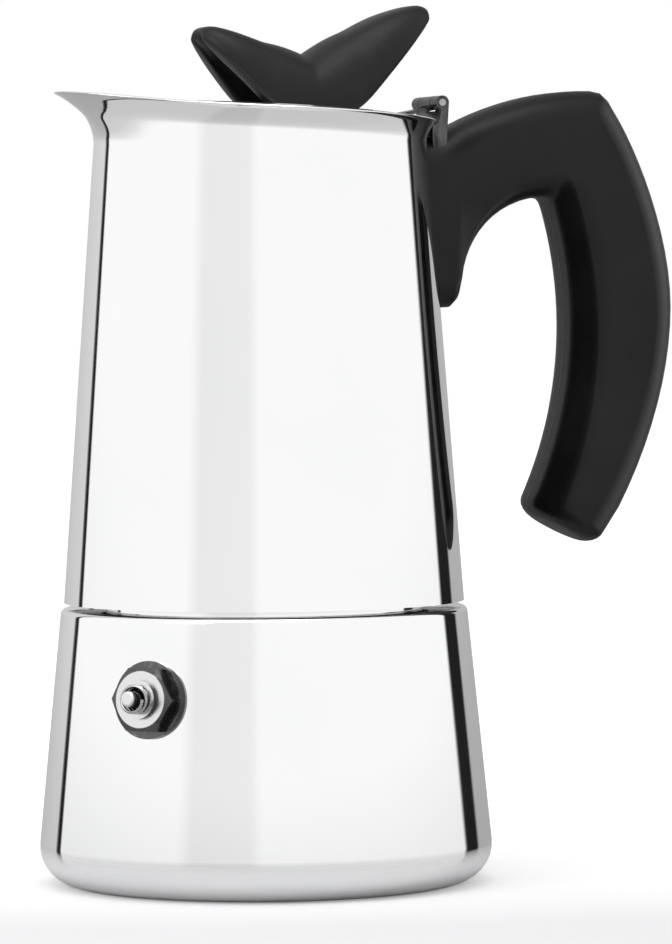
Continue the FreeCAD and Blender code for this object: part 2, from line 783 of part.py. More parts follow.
def make_handle_blank():
    """Hook seen from the side, padded to its width, with its root sunk into the jug."""
    root = size.handle_top_reach - size.handle_root_sink
    body = doc.addObject("PartDesign::Body", "handle_blank")
    sketch = new_sketch(body, "handle_outline")
    draw_outline(sketch, [
        (root - size.handle_root_sink, size.handle_root_low),
        (size.handle_tip_reach, size.handle_root_low, ZERO - size.arch_curve),
        (size.arch_reach, size.arch_height, ZERO - size.grip_inner_curve),
        (size.grip_inner_end_reach, size.grip_inner_end_height),
        (size.grip_end_reach, size.grip_end_height, size.grip_outer_curve),
        (size.handle_corner_reach, size.handle_corner_height, size.handle_top_curve),
        (size.handle_top_reach, size.handle_root_high),
        (root - size.handle_root_sink, size.handle_root_high),
    ])
    pad = body.newObject("PartDesign::Pad", "handle_pad")
    pad.Profile = sketch
    pad.Midplane = True
    pad.setExpression("Length", size.handle_width.text)
    doc.recompute()

    def across_at(spots):
        def test(edge):
            ends = [vertex.Point for vertex in edge.Vertexes]
            if len(ends) < 2 or abs(ends[0].y - ends[1].y) < 1.0:
                return False
            return any(math.hypot(ends[0].x - spot[0].value, ends[0].z - spot[1].value) < 1e-3
                       for spot in spots)
        return test

    corners = [
        (size.handle_tip_reach, size.handle_root_low),
        (size.grip_inner_end_reach, size.grip_inner_end_height),
        (size.grip_end_reach, size.grip_end_height),
        (size.handle_corner_reach, size.handle_corner_height),
    ]
    round_edges(body, "handle_corners", size.handle_corner, across_at(corners))
    round_edges(body, "finger_corner", size.arch_round, across_at([(size.arch_reach, size.arch_height)]))
    side = size.handle_width.value / 2
    behind = size.handle_top_reach.value - size.handle_root_sink.value

    def on_sides(edge):
        box = edge.BoundBox
        return box.YLength < 1e-6 and abs(abs(box.Center.y) - side) < 1e-6 and box.XMax > behind
    round_edges(body, "handle_edges", size.handle_round, on_sides)
    return body


def box_between(low, high):
    span = high - low
    return Part.makeBox(span.x, span.y, span.z, low)


def bracket_shape(jug, play):
    """Plate on the jug's wall with a tongue into the handle, grown by the play."""
    half = size.bracket_width.value / 2 + play
    plate_low = size.bracket_base_height.value - play
    plate_high = plate_low + size.bracket_tall.value + play * 2
    lean = size.jug_taper.value
    wall = size.jug_base_radius.value - lean * (size.bracket_base_height.value - jug_base.value)
    thick = size.bracket_plate.value + play
    plate = box_between(Vector(0, -half, plate_low), Vector(wall + thick, half, plate_high))
    tongue_low = size.tongue_base_height.value - play
    tongue_high = tongue_low + size.tongue_height.value + play * 2
    tongue = box_between(Vector(wall, -half, tongue_low),
                         Vector(size.tongue_reach.value + play, half, tongue_high))
    return plate.fuse(tongue).cut(jug)


def upright_cylinder(radius, low, high):
    return Part.makeCylinder(radius, high - low, Vector(size.screw_reach.value, 0, low))


def make_handle(jug, leaf):
    shank = size.screw_radius.value
    head = size.screw_head_radius.value
    tongue_low = size.tongue_base_height.value
    head_top = tongue_low - size.bracket_play.value
    head_low = head_top - size.screw_head_height.value
    shank_top = tongue_low + size.tongue_height.value + size.screw_grip.value
    play = size.screw_play.value
    shank_hole = upright_cylinder(shank + play, head_top, shank_top + size.bracket_play.value)
    bracket = bracket_shape(jug, 0.0).cut(shank_hole)
    screw = upright_cylinder(head, head_low, head_top).fuse(upright_cylinder(shank, head_top, shank_top))
    socket = size.screw_socket.value
    screw = screw.cut(upright_cylinder(socket, head_low, head_low + size.screw_head_height.value / 2))
    blank = make_handle_blank()
    well = upright_cylinder(head + size.bracket_play.value, size.handle_root_low.value, head_top)
    room = bracket_shape(jug, size.bracket_play.value).fuse(shank_hole).fuse(well)
    solid = blank.Shape.cut(jug).cut(leaf).cut(room)
    largest = max(solid.Solids, key=lambda part: part.Volume)
    return [
        shaped("handle", largest),
        shaped("handle_bracket", bracket),
        shaped("handle_screw", screw),
    ]


# Lid, hinge and knob; the lid's frame lies in the rim's plane

lid_frame = FreeCAD.Placement(
    Vector(0, 0, size.rim_height.value),
    FreeCAD.Rotation(Vector(0, 1, 0), size.rim_tilt.value))
lid_edge = ZERO - size.lid_drop
lid_top = lid_edge + size.lid_step
lid_under = lid_top - size.sheet


def make_lid():
    edge_share = as_size(1.0) - (size.lid_drop + size.sheet) / size.lip_depth
    lip_at_edge = size.lip_reach * edge_share ** FLARE_POWER
    lid_radius = jug_inner_radius(size.rim_height) + lip_at_edge - size.lid_play
    lid = turned("lid", [
        (ZERO, lid_under),
        (size.lid_flat_radius, lid_under),
        (size.lid_slope_radius, lid_edge - size.sheet),
        (lid_radius, lid_edge - size.sheet),
        (lid_radius, lid_edge),
        (size.lid_slope_radius, lid_edge),
        (size.lid_flat_radius, lid_top),
        (ZERO, lid_top),
    ], lid_frame)
    pierce_ring(lid, "knob_screw_hole", size.screw_radius + size.screw_play, size.knob_reach, 1)
    return lid


def barrel(radius, low, high):
    return Part.makeCylinder(radius, high - low,
                             Vector(size.hinge_reach.value, low, size.hinge_height.value), Vector(0, 1, 0))


def strip(corners, low, high):
    """Plate with an outline of (x, z), from one y to another."""
    points = [Vector(x, low, z) for x, z in corners]
    face = Part.Face(Part.makePolygon(points + points[:1]))
    return face.extrude(Vector(0, high - low, 0))


def make_hinge(jug):
    axis_x = size.hinge_reach.value
    axis_z = size.hinge_height.value
    knuckle = size.knuckle_radius.value
    half = size.hinge_length.value / 2
    middle = size.lid_knuckle_length.value / 2
    gap = size.knuckle_gap.value
    leaf = size.leaf_sheet.value
    bore = barrel(size.hinge_pin_radius.value + size.hinge_pin_play.value, -half, half)
    pin = barrel(size.hinge_pin_radius.value, -half, half)
    on_lid = lid_frame.multVec(Vector(size.lid_leaf_reach.value, 0, lid_top.value))
    edge = lid_frame.multVec(Vector(size.lid_flat_radius.value, 0, lid_top.value))
    ramp = strip([
        (on_lid.x, on_lid.z),
        (edge.x, edge.z),
        (axis_x, axis_z - knuckle),
        (axis_x, axis_z - knuckle + leaf),
        (edge.x, edge.z + leaf),
        (on_lid.x, on_lid.z + leaf),
    ], -middle, middle)
    lid_leaf = ramp.fuse(barrel(knuckle, -middle, middle)).cut(bore)
    foot = size.body_leaf_foot.value
    back = axis_x + knuckle
    plate = strip([
        (axis_x - knuckle - leaf, foot),
        (back - leaf, foot),
        (back, axis_z),
        (axis_x, axis_z),
        (axis_x - leaf, rim_level(axis_x)),
        (axis_x - knuckle - leaf, rim_level(axis_x) - leaf),
    ], -half, half)
    knuckles = barrel(knuckle, -half, -middle - gap).fuse(barrel(knuckle, middle + gap, half))
    notch_low = axis_z - knuckle - gap
    notch = box_between(Vector(axis_x - knuckle * 4, -middle - gap, notch_low),
                        Vector(axis_x + knuckle * 4, middle + gap, axis_z + knuckle * 2))
    body_leaf = plate.fuse(knuckles).cut(notch).cut(bore).cut(jug)
    return [
        shaped("body_hinge_leaf", max(body_leaf.Solids, key=lambda part: part.Volume)),
        shaped("hinge_pin", pin),
        shaped("lid_hinge_leaf", lid_leaf),
    ]


# Knob curves: shares of a wing's length or of the knob's width, and powers that round an arc or square it
CREST_SHARE = 0.91
CLOSING_SHARE = 0.8
PLAN_POWER = 2.6
ARCH_POWER = 0.8
DISH_SHARE = 0.7


def knob_edges(run):
    """Half width, lower edge and crest of the knob at a distance along it from its centre."""
    left = run < 0
    span = size.knob_left_span.value if left else size.knob_right_span.value
    tip = size.knob_left_height.value if left else size.knob_right_height.value
    crest = size.knob_left_crest.value if left else size.knob_right_crest.value
    share = abs(run) / span
    foot = size.knob_foot.value / span
    low = lid_top.value
    if share > foot:
        low += (tip - lid_top.value) * (share - foot) / (1.0 - foot)
    climb = math.sin(math.pi / 2 * min(1.0, share / CREST_SHARE))
    high = size.knob_valley.value + (crest - size.knob_valley.value) * climb
    closing = max(0.0, (share - CLOSING_SHARE) / (1.0 - CLOSING_SHARE))
    high -= (high - tip) * closing ** 3
    width = size.knob_half_width.value * math.sqrt(max(0.0, 1.0 - share ** PLAN_POWER))
    return width, low, high


def knob_arch(run, inset, sink):
    """Arch across the knob, dished on top, and closed by a straight foot."""
    width, low, high = knob_edges(run)
    width -= inset
    high -= inset
    low -= sink
    steps = 24
    thick = min(1.0, (high - low) / size.knob_valley.value)
    along = min(1.0, abs(run) / size.knob_foot.value)
    dish = 0.0 if inset else size.knob_dish.value * thick * along ** 2
    points = []
    for step in range(steps + 1):
        turn = math.pi * step / steps
        across = math.cos(turn)
        lift = math.sin(turn) ** ARCH_POWER
        dip = dish * max(0.0, 1.0 - (across / DISH_SHARE) ** 2) ** 2
        points.append(Vector(size.knob_reach.value + run, width * across, low + (high - low) * lift - dip))
    curve = Part.BSplineCurve()
    curve.interpolate(points)
    return Part.Wire([curve.toShape(), Part.makeLine(points[-1], points[0])])


def make_knob():
    left = size.knob_left_span.value
    right = size.knob_right_span.value
    shell = size.knob_shell.value
    web = size.knob_web.value
    runs = [-left * share for share in (0.985, 0.95, 0.88, 0.75, 0.6, 0.45, 0.25)] + [0.0]
    runs += [right * share for share in (0.25, 0.45, 0.6, 0.75, 0.88, 0.95, 0.985)]
    knob = Part.makeLoft([knob_arch(run, 0.0, 0.0) for run in runs], True, True)
    for side, span in ((-1, left), (1, right)):
        far = span * CLOSING_SHARE
        stretch = [web, (web + far) / 2, far]
        hollow = Part.makeLoft([knob_arch(side * run, shell, shell) for run in stretch], True, True)
        knob = knob.cut(hollow)
    depth = size.knob_screw_depth.value
    centre = Vector(size.knob_reach.value, 0, lid_top.value)
    hole_depth = depth + size.screw_radius.value / 2
    hole = Part.makeCylinder(size.screw_radius.value + size.screw_play.value, hole_depth, centre)
    knob = max(knob.cut(hole).Solids, key=lambda part: part.Volume)
    washer_top = lid_under.value
    washer_low = washer_top - size.washer_height.value
    outer = size.washer_radius.value
    inner = size.screw_radius.value + size.screw_play.value
    under = Vector(size.knob_reach.value, 0, washer_low)
    washer = Part.makeCylinder(outer, size.washer_height.value, under)
    washer = washer.cut(Part.makeCylinder(inner, size.washer_height.value, under))
    head_low = under - Vector(0, 0, size.screw_head_height.value)
    screw = Part.makeCylinder(size.screw_head_radius.value, size.screw_head_height.value, head_low)
    screw = screw.fuse(Part.makeCylinder(size.screw_radius.value, lid_top.value + depth - washer_low, under))
    socket = Part.makeCylinder(size.screw_socket.value, size.screw_head_height.value / 2, head_low)
    return [
        shaped("lid_knob", knob, lid_frame),
        shaped("knob_washer", washer, lid_frame),
        shaped("knob_screw", screw.cut(socket), lid_frame),
    ]


def make_pot():
    jug_outside, jug_shell = make_jug()
    hinge = make_hinge(jug_outside)
    pieces = [make_boiler(), make_valve_boss(), make_valve_body(), make_valve_retainer()]
    pieces += [make_valve_pin(), make_valve_spring()]
    pieces += make_funnel() + make_seal() + [jug_shell] + make_collector()
    pieces += make_handle(jug_outside, hinge[0].Shape)
    pieces += hinge + [make_lid()] + make_knob()
    doc.recompute()
    return pieces


def check(pieces):
    for item in doc.Objects:
        failed = [state for state in item.State if state in ("Invalid", "Error")]
        if failed:
            raise RuntimeError(f"{item.Name} is {failed}")
    for piece in pieces:
        shape = piece.Shape
        if shape.isNull() or not shape.isValid() or len(shape.Solids) != 1:
            raise RuntimeError(f"{piece.Label}: null, not valid or {len(shape.Solids)} solids")


def write(pieces):
    os.makedirs("parts", exist_ok=True)
    for piece in pieces:
        piece.Shape.exportStep(f"parts/{piece.Label}.step")
        box = piece.Shape.BoundBox
        print(f"{piece.Label:24s} {piece.Shape.Volume:10.1f} mm3  x {box.XMin:7.2f} {box.XMax:7.2f}"
              f"  y {box.YMin:7.2f} {box.YMax:7.2f}  z {box.ZMin:7.2f} {box.ZMax:7.2f}")


pot = make_pot()
check(pot)
write(pot)
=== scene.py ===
# %% [markdown]
# A stovetop moka pot in polished steel and black plastic. The frame holds the plain solids, and this lesson
# dresses them: smooth mirror shells where reflections show every facet, moulded plastic for the handle and
# the knob, and a studio whose dark strips and pale panels draw the bands that such steel shows.

# %% Load the frame
import bpy
import bmesh
import json
import math
from mathutils import Matrix, Vector
from mathutils.geometry import interpolate_bezier


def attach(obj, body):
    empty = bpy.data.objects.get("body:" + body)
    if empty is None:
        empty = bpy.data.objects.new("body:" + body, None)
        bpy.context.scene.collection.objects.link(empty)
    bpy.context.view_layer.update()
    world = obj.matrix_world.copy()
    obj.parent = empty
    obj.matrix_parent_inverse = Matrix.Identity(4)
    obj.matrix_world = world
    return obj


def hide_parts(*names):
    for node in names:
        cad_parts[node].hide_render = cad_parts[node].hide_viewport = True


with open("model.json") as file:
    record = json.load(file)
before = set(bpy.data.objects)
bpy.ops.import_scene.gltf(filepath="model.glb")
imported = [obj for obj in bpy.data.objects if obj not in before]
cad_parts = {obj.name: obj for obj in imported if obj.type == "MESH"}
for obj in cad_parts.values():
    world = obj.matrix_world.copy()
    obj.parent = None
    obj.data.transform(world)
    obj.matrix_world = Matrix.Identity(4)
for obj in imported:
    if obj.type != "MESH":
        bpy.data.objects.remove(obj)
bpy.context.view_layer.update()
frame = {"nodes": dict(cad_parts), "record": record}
MM = 0.001

# %% [markdown]
# A finish is a small tree of nodes that starts from Object coordinates, so that grain stays at its real
# scale on every piece. A few helpers add nodes and join sockets, and each finish then reads as a recipe.

# %% Finish helpers
def new_finish(name):
    """Empty finish with its shader, and the coordinates that all its patterns read."""
    finish = bpy.data.materials.new(name)
    finish.use_nodes = True
    nodes = finish.node_tree.nodes
    shader = nodes["Principled BSDF"]
    place = nodes.new("ShaderNodeTexCoord").outputs["Object"]
    return finish, shader, place


def add_node(finish, kind, inputs=None, **settings):
    """Node with settings, whose inputs are values or the sockets that feed them."""
    node = finish.node_tree.nodes.new(kind)
    for key, value in settings.items():
        setattr(node, key, value)
    for key, value in (inputs or {}).items():
        if isinstance(value, bpy.types.NodeSocket):
            finish.node_tree.links.new(value, node.inputs[key])
        else:
            node.inputs[key].default_value = value
    return node


def ramp(finish, source, stops):
    """Colour ramp over a 0 to 1 source, from (position, grey or colour) stops."""
    node = add_node(finish, "ShaderNodeValToRGB", {"Fac": source})
    elements = node.color_ramp.elements
    while len(elements) < len(stops):
        elements.new(1.0)
    for element, (position, colour) in zip(elements, stops):
        element.position = position
        shade = colour if isinstance(colour, tuple) else (colour, colour, colour)
        element.color = (*shade, 1.0)
    return node.outputs["Color"]


def feed(finish, source, shader, socket):
    finish.node_tree.links.new(source, shader.inputs[socket])


def share_along(finish, source, axis):
    """How far a vector runs along an axis."""
    product = add_node(finish, "ShaderNodeVectorMath", {0: source, 1: axis}, operation="DOT_PRODUCT")
    return product.outputs["Value"]


print("finish helpers ready")

# %% [markdown]
# Mirror-polished steel is almost white, and what gives it away is how clear it is. Faint wiping smudges
# change its gloss by a few hundredths, and its tint drifts a little, as polished sheet does. One noise feeds
# both, so that gloss and tint change at the same places.

# %% Polished steel
def polished_steel():
    finish, shader, place = new_finish("polished_steel_finish")
    smudges = add_node(finish, "ShaderNodeTexNoise", {"Vector": place, "Scale": 28.0, "Detail": 4.0})
    gloss = ramp(finish, smudges.outputs["Fac"], ((0.35, 0.035), (0.75, 0.075)))
    tint = ramp(finish, smudges.outputs["Fac"], ((0.3, (0.93, 0.935, 0.94)), (0.7, (0.955, 0.955, 0.95))))
    feed(finish, gloss, shader, "Roughness")
    feed(finish, tint, shader, "Base Color")
    shader.inputs["Metallic"].default_value = 1.0
    return finish


mirror_steel = polished_steel()
print("finish", mirror_steel.name)

# %% [markdown]
# The pressed inner pieces are satin: drawn and washed, with fine lines round the pot. The fittings are
# turned bright steel, darker and a little scratched. The hinge's leaves are painted much darker still, a
# painted dark reflection. All three take their lines from stretched noise. An image of scratches could do it
# too, but would need a UV map.

# %% Satin and turned steel
def lined_steel(name, colours, roughness, lines, stretch):
    """Steel with fine lines; the stretch sets which way they run."""
    finish, shader, place = new_finish(name)
    along = add_node(finish, "ShaderNodeMapping", {"Vector": place, "Scale": stretch})
    drawn = add_node(finish, "ShaderNodeTexNoise",
                     {"Vector": along.outputs["Vector"], "Scale": lines, "Detail": 6.0})
    grain = drawn.outputs["Fac"]
    colour = ramp(finish, grain, ((0.3, colours[0]), (0.7, colours[1])))
    gloss = ramp(finish, grain, ((0.3, roughness[0]), (0.7, roughness[1])))
    feed(finish, colour, shader, "Base Color")
    feed(finish, gloss, shader, "Roughness")
    bump = add_node(finish, "ShaderNodeBump", {"Height": grain, "Strength": 0.06, "Distance": 0.0002})
    feed(finish, bump.outputs["Normal"], shader, "Normal")
    shader.inputs["Metallic"].default_value = 1.0
    return finish


satin_steel = lined_steel("satin_steel_finish", ((0.62, 0.62, 0.61), (0.74, 0.74, 0.73)), (0.24, 0.38),
                          60.0, (1.0, 1.0, 14.0))
turned_steel = lined_steel("turned_steel_finish", ((0.36, 0.36, 0.35), (0.52, 0.52, 0.51)), (0.14, 0.28),
                           180.0, (1.0, 1.0, 6.0))
# the hinge's near-black colour is painted dark reflection
hinge_dark_reflection_steel = lined_steel("hinge_steel_finish", ((0.03, 0.03, 0.03), (0.13, 0.13, 0.13)), (0.18, 0.34),
                          220.0, (4.0, 1.0, 1.0))
print("finishes", satin_steel.name, turned_steel.name, hinge_dark_reflection_steel.name)

# %% [markdown]
# The safety valve was turned from hex bar. Its colour is painted reflection: faces that look along its axis
# are painted bright, and the flats and the corners outside a disc round the axis are painted dark. So the
# finish asks two things: whether a face looks along the valve's axis, and how far a point lies from that
# axis.

# %% Valve steel
BASE_RADIUS = 48.0
SHOULDER_RADIUS = 42.3
BOILER_HEIGHT = 57.5
WALL_LEAN = (BASE_RADIUS - SHOULDER_RADIUS) / BOILER_HEIGHT
VALVE_AZIMUTH = math.radians(218.3)
VALVE_HEIGHT = 40.9
VALVE_REACH = BASE_RADIUS - WALL_LEAN * VALVE_HEIGHT
DISC_RADIUS = 5.6
DISC_EDGE = 0.3
# how much the painted dark reflection outside the disc takes off the colour
PAINTED_DARK_SHARE = 0.55
DUST_SHARE = 0.3
valve_way = Vector((math.cos(VALVE_AZIMUTH), math.sin(VALVE_AZIMUTH), 0.0))
valve_axis = (valve_way + Vector((0.0, 0.0, WALL_LEAN))).normalized()
valve_seat = (valve_way * VALVE_REACH + Vector((0.0, 0.0, VALVE_HEIGHT))) * MM


def valve_steel():
    finish, shader, place = new_finish("valve_steel_finish")
    facing = finish.node_tree.nodes["Texture Coordinate"].outputs["Normal"]
    # faces that look along the valve's axis are painted bright, a painted reflection
    front = share_along(finish, facing, valve_axis)
    scale = add_node(finish, "ShaderNodeTexNoise", {"Vector": place, "Scale": 700.0, "Detail": 4.0})
    # dust noise plus the painted bright reflection on faces along the axis
    dust_and_painted_glint = add_node(finish, "ShaderNodeMath", {0: scale.outputs["Fac"], 1: DUST_SHARE, 2: front},
                      operation="MULTIPLY_ADD")
    arm = add_node(finish, "ShaderNodeVectorMath", {0: place, 1: valve_seat}, operation="SUBTRACT")
    swung = add_node(finish, "ShaderNodeVectorMath", {0: arm.outputs["Vector"], 1: valve_axis},
                     operation="CROSS_PRODUCT")
    away = add_node(finish, "ShaderNodeVectorMath", {0: swung.outputs["Vector"]}, operation="LENGTH")
    # outside the disc the colour is painted dark, a painted dark reflection
    painted_dark = add_node(finish, "ShaderNodeMapRange",
                    {"Value": away.outputs["Value"], "From Min": DISC_RADIUS * MM,
                     "From Max": (DISC_RADIUS + DISC_EDGE) * MM, "To Max": PAINTED_DARK_SHARE})
    dust_and_painted_reflection = add_node(finish, "ShaderNodeMath", {0: dust_and_painted_glint.outputs["Value"], 1: painted_dark.outputs["Result"]},
                     operation="SUBTRACT")
    colour = ramp(finish, dust_and_painted_reflection.outputs["Value"], ((0.30, 0.045), (0.62, 0.14), (0.96, 0.78)))
    feed(finish, colour, shader, "Base Color")
    feed(finish, ramp(finish, scale.outputs["Fac"], ((0.3, 0.16), (0.7, 0.30))), shader, "Roughness")
    shader.inputs["Metallic"].default_value = 1.0
    return finish


# valve finish whose colour holds painted bright and dark reflection
painted_reflection_steel = valve_steel()
print("finish", painted_reflection_steel.name)

# %% [markdown]
# The black plastic has a fine spark-eroded grain from its mould, which breaks its gloss into a satin sheen.
# The handle's mould halves meet in its middle, where y is zero, and leave a hair-thin line there. The handle
# also mirrors its studio: dark along its rounded inner edge and pale toward its back. Gloss that changes with
# the way a face looks stands in for that, because panels set for the plastic would show in the steel as well.

# %% Black plastic
INNER_EDGE = Vector((-1.0, -1.0, 0.0)).normalized()
OUTER_EDGE = Vector((0.8, -0.6, 0.0))
PARTING_LINE = 0.35
PARTING_RISE = 3.0
PLAIN_GLOSS = 0.28


def black_plastic(name, parting):
    finish, shader, place = new_finish(name)
    grain = add_node(finish, "ShaderNodeTexNoise", {"Vector": place, "Scale": 2600.0, "Detail": 3.0})
    cloud = add_node(finish, "ShaderNodeTexNoise", {"Vector": place, "Scale": 60.0, "Detail": 3.0})
    dark = (0.005, 0.005, 0.0052)
    pale = (0.009, 0.009, 0.0092)
    feed(finish, ramp(finish, cloud.outputs["Fac"], ((0.3, dark), (0.7, pale))), shader, "Base Color")
    feed(finish, ramp(finish, grain.outputs["Fac"], ((0.3, 0.36), (0.7, 0.50))), shader, "Roughness")
    height = grain.outputs["Fac"]
    shader.inputs["Specular IOR Level"].default_value = PLAIN_GLOSS
    if parting:
        across = add_node(finish, "ShaderNodeSeparateXYZ", {"Vector": place}).outputs["Y"]
        away = add_node(finish, "ShaderNodeMath", {0: across}, operation="ABSOLUTE").outputs["Value"]
        line = add_node(finish, "ShaderNodeMapRange",
                        {"Value": away, "From Min": 0.0, "From Max": parting, "To Min": PARTING_RISE,
                         "To Max": 0.0})
        height = add_node(finish, "ShaderNodeMath", {0: height, 1: line.outputs["Result"]},
                          operation="ADD").outputs["Value"]
        facing = finish.node_tree.nodes["Texture Coordinate"].outputs["Normal"]
        dull = ramp(finish, share_along(finish, facing, INNER_EDGE),
                    ((0.0, 0.12), (0.6, 0.22), (0.73, 0.26), (0.81, 0.05), (0.9, 0.0)))
        bright = ramp(finish, share_along(finish, facing, OUTER_EDGE), ((0.66, 0.0), (0.95, 0.8)))
        gloss = add_node(finish, "ShaderNodeMath", {0: dull, 1: bright}, operation="ADD")
        feed(finish, gloss.outputs["Value"], shader, "Specular IOR Level")
    bump = add_node(finish, "ShaderNodeBump", {"Height": height, "Strength": 0.25, "Distance": 0.00008})
    feed(finish, bump.outputs["Normal"], shader, "Normal")
    return finish


handle_plastic = black_plastic("handle_plastic_finish", PARTING_LINE * MM)
knob_plastic = black_plastic("knob_plastic_finish", 0.0)
print("finishes", handle_plastic.name, knob_plastic.name)

# %% [markdown]
# The seal is a cream silicone rubber, soft and matt, with a little mottling.

# %% Seal rubber
def seal_rubber():
    finish, shader, place = new_finish("seal_rubber_finish")
    mottle = add_node(finish, "ShaderNodeTexNoise", {"Vector": place, "Scale": 240.0, "Detail": 4.0})
    dark = (0.74, 0.72, 0.66)
    pale = (0.82, 0.80, 0.75)
    feed(finish, ramp(finish, mottle.outputs["Fac"], ((0.3, dark), (0.7, pale))), shader, "Base Color")
    feed(finish, ramp(finish, mottle.outputs["Fac"], ((0.3, 0.55), (0.7, 0.7))), shader, "Roughness")
    return finish


rubber = seal_rubber()
print("finish", rubber.name)

# %% [markdown]
# Every solid of the frame takes the finish of its slot in the record, so pieces that only show when the
# pot is opened are finished too. The valve and the hinge's leaves then take finishes of their own.

# %% Dress the frame's solids
slot_finish = {
    "polished_steel": mirror_steel,
    "satin_steel": satin_steel,
    "fitting_steel": turned_steel,
    "black_plastic": handle_plastic,
    "seal_rubber": rubber,
}
for part in frame["record"]["subparts"]:
    solid = frame["nodes"][part["node"]]
    solid.data.materials.clear()
    solid.data.materials.append(slot_finish[part["material_slot"]])
# the valve and its boss carry painted reflection in their colour, the hinge's leaves a painted dark
# reflection
own_finish = {
    "valve_body": painted_reflection_steel, "valve_pin": painted_reflection_steel, "body_hinge_leaf": hinge_dark_reflection_steel,
    "lid_hinge_leaf": hinge_dark_reflection_steel, "valve_boss": painted_reflection_steel,
}
for name, finish in own_finish.items():
    frame["nodes"][name].data.materials[0] = finish
print("dressed", len(frame["nodes"]), "solids")

# %% [markdown]
# New pieces share two steps: an outline in the pot's (radius, height) plane whose corners may be rounded,
# and a closing step that merges doubled points, turns the faces outward and shades the piece smooth.

# %% Outline and closing helpers
ARC_STEPS = 8
MERGE_GAP = 1e-6


def rounded_outline(corners):
    """Points along (x, z, radius) corners; a radius above zero swaps the corner for an arc."""
    points = []
    for index, (x, z, radius) in enumerate(corners):
        corner = Vector((x, z))
        if radius <= 0:
            points.append(corner)
            continue
        before = (Vector(corners[index - 1][:2]) - corner).normalized()
        after = (Vector(corners[(index + 1) % len(corners)][:2]) - corner).normalized()
        half = before.angle(after) / 2
        centre = corner + (before + after).normalized() * (radius / math.sin(half))
        first = corner + before * (radius / math.tan(half)) - centre
        last = corner + after * (radius / math.tan(half)) - centre
        sweep = first.angle_signed(last)
        for step in range(ARC_STEPS + 1):
            points.append(centre + Matrix.Rotation(-sweep * step / ARC_STEPS, 2) @ first)
    return points


def add_loop(mesh, points):
    """Closed edge loop in the XZ plane from (x, z) points in millimetres."""
    verts = [mesh.verts.new((point[0] * MM, 0.0, point[1] * MM)) for point in points]
    pairs = zip(verts, verts[1:] + verts[:1])
    return verts, [mesh.edges.new(pair) for pair in pairs]


def close_piece(mesh, name, body, finish, sharp):
    """Finished object from a bmesh, riding on its body."""
    bmesh.ops.remove_doubles(mesh, verts=mesh.verts, dist=MERGE_GAP)
    bmesh.ops.recalc_face_normals(mesh, faces=mesh.faces)
    data = bpy.data.meshes.new(name)
    mesh.to_mesh(data)
    mesh.free()
    data.shade_smooth()
    data.set_sharp_from_angle(angle=math.radians(sharp))
    piece = bpy.data.objects.new(name, data)
    bpy.context.collection.objects.link(piece)
    data.materials.append(finish)
    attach(piece, body)
    print("made", name, len(data.polygons), "faces")
    return piece


print("outline and closing helpers ready")

# %% [markdown]
# The boiler is spun sheet: a cone with a large round at its foot, a small one at its shoulder and a neck for
# the thread. Stacked cones would need their rounds bevelled afterwards, so one closed outline with its rounds
# is spun instead, in many steps, and the mirror shows no facets. The outline stops just short of the axis,
# where spun points would pile up, and the two small holes are then filled.

# %% Boiler shell
BOILER_WALL = 1.0
BASE_WALL = 2.0
FOOT_ROUND = 8.0
SHOULDER_ROUND = 1.2
CENTRE_GAP = 0.4
SAME_LEVEL = 1e-5
SHELL_SHARP = 50
NECK_RADIUS = 33.0
NECK_WALL = 1.2
NECK_TOP = 68.0
SPIN_STEPS = 192


def spin_outline(mesh, points, steps):
    """Turn an outline about the pot's axis into a closed skin."""
    verts, edges = add_loop(mesh, points)
    bmesh.ops.spin(mesh, geom=verts + edges, axis=(0, 0, 1), cent=(0, 0, 0), angle=2 * math.pi,
                   steps=steps, use_merge=True)


def make_boiler_shell():
    mesh = bmesh.new()
    spin_outline(mesh, rounded_outline([
        (CENTRE_GAP, 0.0, 0.0),
        (BASE_RADIUS, 0.0, FOOT_ROUND),
        (SHOULDER_RADIUS, BOILER_HEIGHT, SHOULDER_ROUND),
        (NECK_RADIUS, BOILER_HEIGHT, 0.0),
        (NECK_RADIUS, NECK_TOP, 0.0),
        (NECK_RADIUS - NECK_WALL, NECK_TOP, 0.0),
        (NECK_RADIUS - NECK_WALL, BOILER_HEIGHT - BOILER_WALL, 0.0),
        (SHOULDER_RADIUS - BOILER_WALL, BOILER_HEIGHT - BOILER_WALL, 0.0),
        (BASE_RADIUS - BOILER_WALL, BASE_WALL, FOOT_ROUND - BOILER_WALL),
        (CENTRE_GAP, BASE_WALL, 0.0),
    ]), SPIN_STEPS)
    reach = 2 * CENTRE_GAP * MM
    upright = [edge for edge in mesh.edges if all(vert.co.xy.length < reach for vert in edge.verts)
               and abs(edge.verts[0].co.z - edge.verts[1].co.z) > SAME_LEVEL]
    walls = {face for edge in upright for face in edge.link_faces}
    bmesh.ops.delete(mesh, geom=list(walls), context="FACES")
    rims = [edge for edge in mesh.edges if edge.is_boundary]
    bmesh.ops.holes_fill(mesh, edges=rims)
    return close_piece(mesh, "boiler_shell", "boiler", mirror_steel, SHELL_SHARP)


boiler_shell = make_boiler_shell()

# %% [markdown]
# The neck's thread is one rolled ridge. A Screw modifier could make it, but a spin that also climbs does it
# in one step: the section turns about the axis and rises by the pitch in each turn.

# %% Neck thread
THREAD_PITCH = 3.0
THREAD_TURNS = 1.5
THREAD_FOOT = 60.5
STEPS_A_TURN = 96
ROOT_DEPTH = 0.3
CREST_RISE = 0.9
ROOT_HALF = 0.6
CREST_HALF = 0.3
THREAD_SHARP = 30


